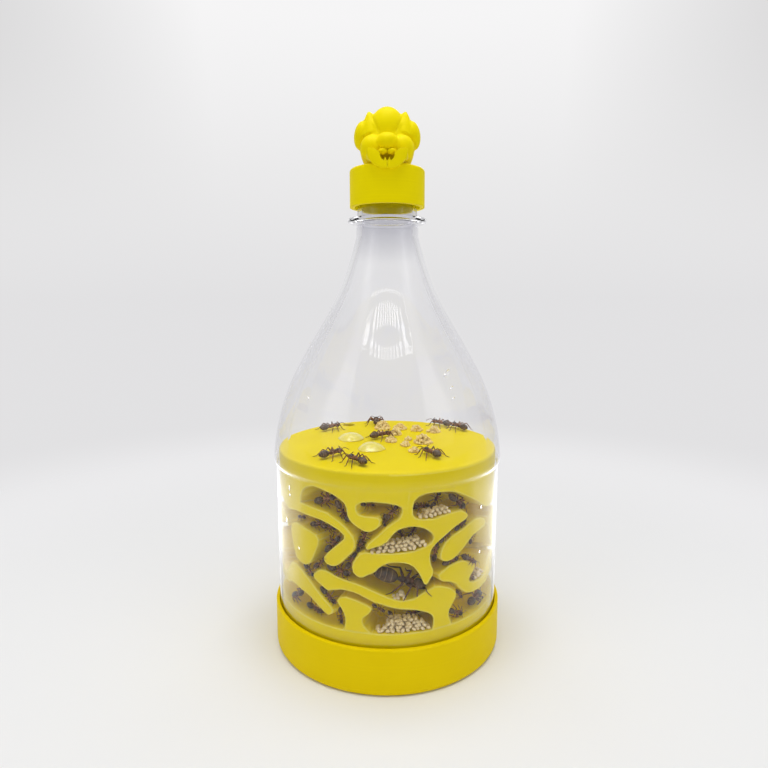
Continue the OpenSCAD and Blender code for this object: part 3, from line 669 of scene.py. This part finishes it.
def makeHead():
    bm = bmesh.new()

    def ball(part, side=1, turn=None):
        at, size = head[part]
        lobe(bm, headPoint(at, side), size, *head["ball"], turn)

    ball("skull")
    ball("forehead")
    for side in (-1, 1):
        ball("eye", side, Matrix.Rotation(math.radians(head["eyeTurn"] * side), 4, "Y"))
        ball("temple", side)
        ball("cheek", side)
        # horns, like ears that stand out of the brow
        foot, tip = headPoint(head["hornFoot"], side), headPoint(head["hornTip"], side)
        middle = foot.lerp(tip, 0.45) + Vector((head["hornLean"] * side, 0, 0))
        limb(bm, [foot, middle, foot.lerp(tip, 0.8), tip], head["hornRadii"], sides=20)
    ball("facePlate")  # it hangs over the mouth
    bmesh.ops.recalc_face_normals(bm, faces=bm.faces)
    rough = meshOf(bm, "headRough")
    block = newObject("headRough", rough)
    remesh = block.modifiers.new("one skin", "REMESH")
    remesh.mode = "VOXEL"
    remesh.voxel_size = head["voxel"]
    bpy.context.view_layer.update()
    skin = block.evaluated_get(bpy.context.evaluated_depsgraph_get()).to_mesh()
    bm = bmesh.new()
    bm.from_mesh(skin)
    bpy.data.objects.remove(block)
    bpy.data.meshes.remove(rough)
    for _ in range(head["smooth"]):
        bmesh.ops.smooth_vert(bm, verts=bm.verts, factor=0.5, use_axis_x=True, use_axis_y=True, use_axis_z=True)
    mouth, crease = head["mouth"], head["crease"]
    for vert in bm.verts:
        x, y, z = vert.co.x, vert.co.y, vert.co.z - capTop
        if y < mouth["front"]:
            # the mouth is a hollow between the jaws
            inward = max(0, 1 - (x / mouth["wide"]) ** 2 - ((z - mouth["up"]) / mouth["tall"]) ** 2)
            vert.co.y += mouth["deep"] * inward ** 0.6
        # a crease down the inner side of each horn
        if y < 0 and z > crease["from"]:
            off = abs(abs(x) - (crease["inner"] + (z - crease["middle"]) * crease["lean"]))
            if off < crease["wide"]:
                vert.co.y += crease["deep"] * (1 - off / crease["wide"]) * ease((z - crease["from"]) / 2)
    # the neck ends flat on the cap
    for vert in bm.verts:
        if vert.co.z < capTop and fromAxis(vert.co) < head["neckReach"]:
            vert.co.z = capTop
    # lips under the face plate, and the jaws below them
    for side in (-1, 1):
        at, size = head["lip"]
        lobe(bm, headPoint(at, side), size, 16, 10)
        jaw = makeJaw(side)
        stamp(bm, jaw, Matrix.Identity(4))
        limb(bm, [headPoint(point, side) for point in head["jawRoot"]], head["jawRootRadii"], sides=16)
        bpy.data.meshes.remove(jaw)
    finishPiece("antHead", bm, [capPrint], "cap", stands=("ant_head",), crease=48)


makeHead()


ant = {"gaster": [[0.0, -0.5], [0.03, -0.49], [0.064, -0.455], [0.073, -0.448], [0.098, -0.39], [0.105, -0.382],
                  [0.119, -0.31], [0.123, -0.302], [0.12, -0.22], [0.117, -0.212],
                  [0.088, -0.14], [0.04, -0.104], [0.0, -0.1]],
       "around": 14, "flatter": 0.94, "raised": 0.008, "feet": -0.15, "skull": [(0.35, 0, 0.005), (0.122, 0.106, 0.088)],
       "nod": 14, "jowl": 0.18, "snout": 0.22, "eye": [(0.385, 0.083, 0.028), (0.026, 0.014, 0.024)],
       "bands": (-0.452, -0.387, -0.306, -0.217), "bandWidth": 0.0075,
       "middle": [((-0.07, 0, -0.002), (0.026, 0.034, 0.058), 8, 6), ((0.01, 0, -0.002), (0.08, 0.06, 0.07), 10, 7),
                  ((0.09, 0, 0.016), (0.078, 0.068, 0.078), 10, 7), ((0.172, 0, 0.014), (0.068, 0.062, 0.068), 10, 7),
                  ((0.235, 0, 0.008), (0.034, 0.032, 0.036), 8, 5)],
       "legs": [((0.17, 0.045, -0.03), (0.25, 0.22), (0.33, 0.34), (0.41, 0.40)),
                ((0.10, 0.048, -0.03), (0.10, 0.25), (0.06, 0.40), (0.03, 0.49)),
                ((0.03, 0.045, -0.03), (-0.09, 0.25), (-0.22, 0.38), (-0.33, 0.45))]}


def antShape(name, seed, spread=1.0, fine=False):
    # an ant one unit long along X, head first, standing on its feet
    pick = random.Random(seed)
    bm = bmesh.new()
    more = 2 if fine else 1
    turned(bm, ant["gaster"], ant["around"] * more, axis="X")
    for face in bm.faces:
        along = face.calc_center_median().x
        banded = any(abs(along - x) < ant["bandWidth"] for x in ant["bands"])
        face.material_index = 2 if banded else 0
    for vert in bm.verts:
        vert.co.z = vert.co.z * ant["flatter"] + ant["raised"]
    for at, size, around, up in ant["middle"]:
        lobe(bm, at, size, around * more, up * more, finish=1)
    skull = lobe(bm, *ant["skull"], 14 * more, 9 * more, turn=Matrix.Rotation(math.radians(ant["nod"]), 4, "Y"))
    for vert in skull:
        back = (0.36 - vert.co.x) / 0.115
        vert.co.y *= 1 + ant["jowl"] * max(back, 0) - ant["snout"] * max(-back, 0)
    for side in (-1, 1):
        (ahead, out, up), size = ant["eye"]
        lobe(bm, (ahead, side * out, up), size, 8, 6)
        limb(bm, [(0.44, side * 0.05, -0.015), (0.49, side * 0.052, -0.03), (0.5, side * 0.015, -0.035)],
             [0.022, 0.018, 0.006], sides=6, finish=1)
        swing = pick.uniform(-0.04, 0.04)
        tip = (0.47, side * (0.17 + swing), 0.1)
        limb(bm, [(0.42, side * 0.04, 0.05), (0.46, side * (0.12 + swing), 0.09), tip], [0.011, 0.01, 0.01],
             sides=5, finish=1)
        limb(bm, [tip, (0.55, side * (0.2 + swing), 0.06), (0.62, side * (0.18 + swing), 0.0)], [0.011, 0.01, 0.007],
             sides=5, finish=1)
        for hip, knee, ankle, toe in ant["legs"]:
            shift = pick.uniform(-0.05, 0.05)
            kneeUp = pick.uniform(0.07, 0.12)
            start = Vector((hip[0], side * hip[1], hip[2]))
            bend = Vector((knee[0] + shift, side * knee[1] * spread, kneeUp))
            down = Vector((ankle[0] + shift * 1.4, side * ankle[1] * spread, ant["feet"] + 0.03))
            tip = Vector((toe[0] + shift * 1.6, side * toe[1] * spread, ant["feet"] + 0.008))
            limb(bm, [start, start.lerp(bend, 0.35), start.lerp(bend, 0.7), bend], [0.022, 0.03, 0.024, 0.017],
                 sides=6, finish=1)
            limb(bm, [bend, bend.lerp(down, 0.5), down], [0.017, 0.018, 0.012], sides=6, finish=1)
            limb(bm, [down, down.lerp(tip, 0.6), tip], [0.012, 0.009, 0.006], sides=5, finish=1)
    return meshOf(bm, name)


antMeshes = [antShape("antShape" + str(i), 11 + i) for i in range(4)]
tuckedMeshes = [antShape("antTucked" + str(i), 31 + i, spread=0.7) for i in range(4)]
deckWorkers = {"length": 12.6, "reach": 47.4,
               "walk": [[-27.5, 24, 46], [-5.5, 37, 92], [-3, 7, 40], [-22.5, -25, 46], [-11.5, -34.5, 126],
                        [18, -24, 117], [27, 33, 134], [35, 25, 119]]}
galleryWorkers = {"length": 12.8, "reach": 47.5, "inset": 0.4, "lean": [70, 95, 50, 110, 82, 20, 65], "walk": [
    [-27.5, 74, 3.5, 20, 0.9], [-18.5, 71, 2.5, -55, 0.75], [-8, 74, 3.5, 0, 0.45], [1.5, 71.5, 2, 50, 0.65],
    [-1, 69, 1.5, -90, 0.4], [-42.5, 63.2, 3, 10, 0.45], [-31.5, 63.5, 3, 20, 0.65], [-27.5, 62, 5.5, 5, 0.65],
    [-22.5, 57.5, 1.5, 48, 0.8], [-9.5, 61.5, 2.5, 68, 0.65], [-11, 58.5, 1.5, 75, 0.45], [-14.5, 52, 1.5, 60, 0.65],
    [-28.5, 48.5, 1.2, 40, 0.7], [-35.5, 43.5, 1.5, -30, 0.55], [-20, 47.5, 1.5, -10, 0.8], [-25, 36, 1.5, -36, 0.7],
    [-48, 28, 3, 30, 0.9], [-36, 26, 4.5, 0, 0.8], [-20, 28, 3, -85, 0.55], [16, 71, 8.5, 0, 0.65],
    [23.5, 73, 7.5, 60, 0.65], [31.5, 72.5, 3, -38, 0.9], [31.5, 63.5, 1, 25, 0.55], [23.5, 60.5, 1, 40, 0.5],
    [19.5, 55, 1.5, 80, 0.65], [26.5, 50, 1, 5, 0.65], [37.5, 47.5, 1.5, -32, 0.8], [39.5, 56, 1.5, 60, 0.45],
    [33.5, 33.5, 3, -50, 0.5], [30, 27.5, 1.5, -28, 0.7], [47.5, 26.5, 3.5, 0, 1], [39.5, 40, 1, 120, 0.45],
    [2.5, 27.5, 6, -60, 0.55], [12.5, 26.5, 9.5, 20, 0.65], [-3.5, 34, 1.5, -30, 0.45], [7, 60, 9.5, -60, 0.5],
    [12.5, 60.5, 10, 60, 0.5]]}
cuticles = [darkCuticle, redCuticle, bandCuticle]


def holdInside(verts, limit):
    # feet press on the bottle's wall and don't go through it
    for vert in verts:
        away = fromAxis(vert.co)
        if away > limit:
            pull(vert, limit / away)


def makeDeckWorkers():
    bm = bmesh.new()
    size = deckWorkers["length"]
    for i, (x, y, heading) in enumerate(deckWorkers["walk"]):
        place = (Matrix.Translation((x, y, deckTop - ant["feet"] * size))
                 @ Matrix.Rotation(math.radians(heading), 4, "Z") @ Matrix.Scale(size, 4))
        holdInside(stamp(bm, antMeshes[i % 4], place), deckWorkers["reach"])
    for vert in bm.verts:
        vert.co.z = max(vert.co.z, deckTop)
    finishPiece("deckAnts", bm, cuticles, "base", stands=("deck_workers",))


def makeGalleryWorkers():
    bm = bmesh.new()
    for i, (s, z, depth, turn, share) in enumerate(galleryWorkers["walk"]):
        lean = galleryWorkers["lean"][i % len(galleryWorkers["lean"])]
        place = inGallery(s, z, depth + galleryWorkers["inset"], turn, share * galleryWorkers["length"], lean)
        holdInside(stamp(bm, tuckedMeshes[i % 4], place), galleryWorkers["reach"])
    finishPiece("galleryAnts", bm, cuticles, "base", stands=("gallery_workers",))


makeDeckWorkers()
makeGalleryWorkers()

queen = {"at": [6.3, 44.5, 3.9, -20], "length": 20.0, "lean": 34, "gaster": 1.28, "swell": 1.15, "reach": 47.5}


def makeQueen():
    shape = antShape("queenShape", 5, spread=0.72, fine=True)
    bm = bmesh.new()
    for vert in shape.vertices:
        if vert.co.x < -0.1 and abs(vert.co.y) < 0.14 and vert.co.z > -0.13:
            vert.co.x = -0.1 + (vert.co.x + 0.1) * queen["gaster"]
            vert.co.y *= queen["swell"]
            vert.co.z *= queen["swell"]
    verts = stamp(bm, shape, inGallery(*queen["at"], size=queen["length"], lean=queen["lean"]))
    holdInside(verts, queen["reach"])
    finishPiece("queenAnt", bm, [darkCuticle, queenCuticle, bandCuticle], "base", stands=("queen_ant",))


makeQueen()


brood = {"length": 2.15, "radius": 0.66, "layers": 3, "spacing": 0.92, "inset": 1.8, "seed": 4,
         "piles": [[-5.5, 15.8, 56.1, 58.3, 3], [-3.5, 17.5, 24.5, 24.5, 4], [12.8, 25.5, 69.2, 70.0, 2],
                   [2.6, 8.4, 37.6, 37.9, 2], [41, 48, 38.0, 38.2, 4]]}


def makeBrood():
    pick = random.Random(brood["seed"])
    grain = bmesh.new()
    bmesh.ops.create_uvsphere(grain, u_segments=8, v_segments=7, radius=1,
                              matrix=Matrix.Diagonal(Vector((0.34, 0.34, 0.5, 1))))
    bmesh.ops.rotate(grain, cent=(0, 0, 0), matrix=Matrix.Rotation(math.radians(90), 3, "Y"), verts=grain.verts)
    for vert in grain.verts:
        vert.co.z -= 0.15 * vert.co.x * vert.co.x  # a little bent
    shape = meshOf(grain, "grainShape")
    bm = bmesh.new()
    length, radius = brood["length"], brood["radius"]
    for first, last, lowZ, highZ, rows in brood["piles"]:
        spacing = length * brood["spacing"]
        columns = int((last - first) / spacing) + 1
        for row in range(rows):
            inset = row * brood["inset"]
            for column in range(columns):
                for layer in range(brood["layers"]):
                    s = first + (column + 0.5 * (row % 2) + pick.uniform(-0.25, 0.25)) * spacing
                    if not first + inset - 0.4 <= s <= last - inset + 0.6:
                        continue
                    z = lowZ + (highZ - lowZ) * (s - first) / (last - first) + radius * (1.1 + 1.75 * row)
                    deep = 0.8 + layer * radius * 2.2 + 0.5 * row + pick.uniform(-0.1, 0.25)
                    place = (inGallery(s, z + pick.uniform(-0.12, 0.12), deep, pick.uniform(-60, 60), 1.0)
                             @ Matrix.Rotation(pick.uniform(-0.9, 0.9), 4, "Z")
                             @ Matrix.Scale(length * pick.uniform(0.8, 1.02), 4))
                    stamp(bm, shape, place)
    finishPiece("broodPiles", bm, [broodSkin], "base", stands=("brood",))


makeBrood()


crumbs = {"heaps": [[-2.3, 27.2, 3.2], [6.2, 26.1, 2.6], [3.9, 14.3, 2.3], [13.9, 22.8, 2.4], [22.3, 19.5, 2.4],
                    [15.8, -1.3, 3.3], [7.9, -6.7, 1.6], [11.1, -16.8, 1.7], [1.7, 0.5, 2.1],
                    [9.5, 4.0, 1.2], [-3.5, 16.0, 1.3]],
          "grain": 0.52, "perArea": 20, "least": 12, "spread": 1.18, "heap": 1.2, "seed": 9}


def makeCrumbs():
    # heaps of small broken lumps
    pick = random.Random(crumbs["seed"])
    grains = []
    for i in range(5):
        grain = bmesh.new()
        bmesh.ops.create_icosphere(grain, subdivisions=1, radius=1)
        for vert in grain.verts:
            vert.co *= 1 + 0.55 * noise.noise(vert.co * 1.6 + Vector((5 * i, 0, 0)))
        grains.append(meshOf(grain, "grainOfCrumb" + str(i)))
    bm = bmesh.new()
    for x, y, reach in crumbs["heaps"]:
        for k in range(int(crumbs["perArea"] * reach * reach) + crumbs["least"]):
            size = crumbs["grain"] * pick.uniform(0.5, 1.5)
            turn, out = pick.uniform(0, math.tau), reach * crumbs["spread"] * math.sqrt(pick.random())
            rise = math.sqrt(max(0, 1 - (out / reach) ** 2)) * reach * crumbs["heap"]
            level = deckTop + max(size * 0.7, rise * pick.uniform(0.25, 1.0))
            place = Matrix.Translation((x + out * math.cos(turn), y + out * math.sin(turn), level))
            spun = Matrix.Rotation(pick.uniform(0, math.tau), 4, pick.choice("XYZ"))
            for vert in stamp(bm, grains[k % 5], place @ spun @ Matrix.Scale(size, 4)):
                vert.co.z = max(vert.co.z, deckTop)
    finishPiece("foodCrumbs", bm, [crumbCrust], "base", stands=("food_crumbs",), smooth=False)


makeCrumbs()

sugarDrops = {"spots": [[-16.4, 5.7], [-6.8, -12.1]], "radius": 6.1, "around": 40, "waves": (0.03, 0.02),
              "outline": [[0, 3.0], [0.28, 2.85], [0.54, 2.3], [0.75, 1.5], [0.91, 0.65], [1.0, 0.18],
                          [0.99, 0.02], [0, 0.01]]}


def makeSugarDrops():
    bm = bmesh.new()
    slow, quick = sugarDrops["waves"]
    for i, (x, y) in enumerate(sugarDrops["spots"]):
        drop = bmesh.new()
        turned(drop, [[r * sugarDrops["radius"], z] for r, z in sugarDrops["outline"]],
               sugarDrops["around"])
        for vert in drop.verts:
            turn = math.atan2(vert.co.y, vert.co.x)
            pull(vert, 1 - slow + slow * math.sin(3 * turn + i * 2) + quick * math.sin(5 * turn + i))
        stamp(bm, meshOf(drop, "dropShape"), Matrix.Translation((x, y, deckTop)))
    finishPiece("sugarDrops", bm, [sugar], "base", stands=("sugar_drops",), level=1)


makeSugarDrops()


stage = {"floor": (0.82, 0.82, 0.825, 1), "far": (0.86, 0.855, 0.865, 1), "horizon": (0.76, 0.755, 0.765, 1),
         "middle": (0.83, 0.825, 0.83, 1), "high": (0.92, 0.915, 0.92, 1), "corner": (0.66, 0.655, 0.66, 1),
         "unlit": (0.1, 0.1, 0.105, 1), "fill": 0.42, "radius": 6.0, "passed": 0.7, "dim": 0.9, "veil": 2.1,
         "farFloor": (0.17, 0.36), "horizonFloor": (0.24, 0.5), "frontFloor": (-0.1, -0.4),
         "veilBeside": (0.07, 0.12),
         "veilBehind": (-0.06, 0.0), "veilNear": (0.32, 0.22), "cornerWide": (0.26, 0.56), "cornerRise": (0.02, 0.4),
         "frontSky": (-0.45, -0.85)}


def roomRays(tree):
    # rays that see the room, the share of them that is mirrored, and the rays themselves
    rays = node(tree, "ShaderNodeLightPath").outputs
    glossy, passed = rays["Is Glossy Ray"], rays["Is Transmission Ray"]
    seen = math2(tree, "MAXIMUM", rays["Is Camera Ray"], math2(tree, "MAXIMUM", glossy, passed))
    share = math2(tree, "SUBTRACT", glossy, times(tree, passed, stage["passed"]), clamp=True)
    return seen, share, glossy, passed


def makeFloor():
    bm = bmesh.new()
    bmesh.ops.create_circle(bm, cap_ends=True, segments=64, radius=stage["radius"])
    mesh = bpy.data.meshes.new("studioFloor")
    bm.to_mesh(mesh)
    bm.free()
    floor = newObject("studioFloor", mesh)
    material, tree, shader = newMaterial("paleFloor")
    setInputs(shader, {"Roughness": 0.9, "Specular IOR Level": 0.1, "Base Color": stage["floor"]})
    where = node(tree, "ShaderNodeSeparateXYZ", {0: node(tree, "ShaderNodeTexCoord").outputs["Object"]}).outputs
    across = node(tree, "ShaderNodeCombineXYZ", {0: where["X"], 1: where["Y"]})
    away = node(tree, "ShaderNodeVectorMath", {0: across.outputs[0]}, operation="LENGTH").outputs["Value"]
    seen, share, glossy, passed = roomRays(tree)
    far = mapped(tree, away, *stage["farFloor"], smooth=True)
    fade = mapped(tree, away, *stage["horizonFloor"], smooth=True)
    dim = times(tree, mapped(tree, where["Y"], *stage["frontFloor"]), share, stage["dim"])
    colour = blendColours(tree, dim, blendColours(tree, fade, stage["far"], stage["horizon"]), stage["unlit"])
    # both sides are mirrored brighter, a pale veil along the wall's edges
    beside = mapped(tree, math2(tree, "ABSOLUTE", where["X"]), *stage["veilBeside"], smooth=True)
    behind = mapped(tree, where["Y"], *stage["veilBehind"])
    near = mapped(tree, away, *stage["veilNear"])
    veil = times(tree, beside, behind, near, math2(tree, "SUBTRACT", glossy, passed, clamp=True))
    strength = math2(tree, "ADD", 1.0, times(tree, veil, stage["veil"]))
    glow = node(tree, "ShaderNodeEmission", {"Color": colour, "Strength": strength})
    lit = math2(tree, "MAXIMUM", times(tree, seen, far), veil)
    mixed = node(tree, "ShaderNodeMixShader", {0: lit, 1: shader.outputs[0], 2: glow.outputs[0]})
    tree.links.new(mixed.outputs[0], tree.nodes["Material Output"].inputs["Surface"])
    mesh.materials.append(material)


ringLamp = {"height": 0.827, "width": 0.012, "beads": 62.0, "reach": 1.2, "strength": 13.0}
leaf = {"bearing": 1.15, "edge": (0.26, 0.1), "low": (0.1, 0.35), "strength": 1.6}


def makeWorld():
    world = bpy.data.worlds.new("studioWorld")
    bpy.context.scene.world = world
    world.use_nodes = True
    tree = world.node_tree
    shader = tree.nodes["Background"]
    setInputs(shader, {"Color": (1.0, 1.0, 1.0, 1), "Strength": stage["fill"]})
    seen, share, glossy = roomRays(tree)[:3]
    toward = node(tree, "ShaderNodeSeparateXYZ", {0: node(tree, "ShaderNodeTexCoord").outputs["Generated"]}).outputs
    across, along, up = toward["X"], toward["Y"], toward["Z"]
    sky = ramp(tree, up, [(0.0, stage["horizon"]), (0.2, stage["middle"]), (0.4, stage["high"])])
    wide = mapped(tree, math2(tree, "ABSOLUTE", across), *stage["cornerWide"])
    risen = mapped(tree, up, *stage["cornerRise"], smooth=True)
    sky = blendColours(tree, times(tree, wide, risen), sky, stage["corner"])
    # clear plastic mirrors a darker room in front, and a ring of small lamps above it
    front = mapped(tree, along, *stage["frontSky"], smooth=True)
    sky = blendColours(tree, times(tree, front, share), sky, stage["unlit"])
    off = math2(tree, "ABSOLUTE", math2(tree, "SUBTRACT", up, ringLamp["height"]))
    level = mapped(tree, off, ringLamp["width"], ringLamp["width"] * 0.5)
    bearing = math2(tree, "ARCTAN2", across, times(tree, along, -1.0))
    turn = math2(tree, "ABSOLUTE", bearing)
    beads = math2(tree, "GREATER_THAN", math2(tree, "SINE", times(tree, bearing, ringLamp["beads"])), 0.0)
    inFront = math2(tree, "LESS_THAN", turn, ringLamp["reach"])
    shine = times(tree, level, beads, inFront, glossy)
    strength = math2(tree, "ADD", 1.0, times(tree, shine, ringLamp["strength"]))
    # tall soft panels left and right, seen as pale leaves on the shoulder
    off = math2(tree, "ABSOLUTE", math2(tree, "SUBTRACT", turn, leaf["bearing"]))
    panel = times(tree, mapped(tree, off, *leaf["edge"], smooth=True),
                  mapped(tree, up, *leaf["low"], smooth=True), glossy)
    strength = math2(tree, "ADD", strength, times(tree, panel, leaf["strength"]))
    back = node(tree, "ShaderNodeBackground", {"Color": sky, "Strength": strength})
    mixed = node(tree, "ShaderNodeMixShader", {0: seen, 1: shader.outputs[0], 2: back.outputs[0]})
    tree.links.new(mixed.outputs[0], tree.nodes["World Output"].inputs["Surface"])


def lamp(name, at, aim, size, power, tall=None):
    data = bpy.data.lights.new(name, "AREA")
    data.energy = power
    data.size = size
    if tall:
        data.shape = "RECTANGLE"
        data.size_y = tall
    made = newObject(name, data)
    made.location = at
    made.rotation_euler = (Vector(at) - Vector(aim)).to_track_quat("Z", "Y").to_euler()
    made.visible_camera = False
    return made


makeFloor()
makeWorld()
lamp("topSoftbox", (0.0, -0.05, 1.1), (0, 0, 0.1), 0.7, 7.5)
for side, power in ((-1, 1.05), (1, 0.9)):
    softbox = lamp("sideSoftbox" + str(side), (0.7 * side, -0.5, 0.5), (0, 0, 0.12), 0.5, power, tall=0.7)
    softbox.visible_glossy = False

bpy.context.scene.view_settings.view_transform = "Standard"
bpy.context.view_layer.update()
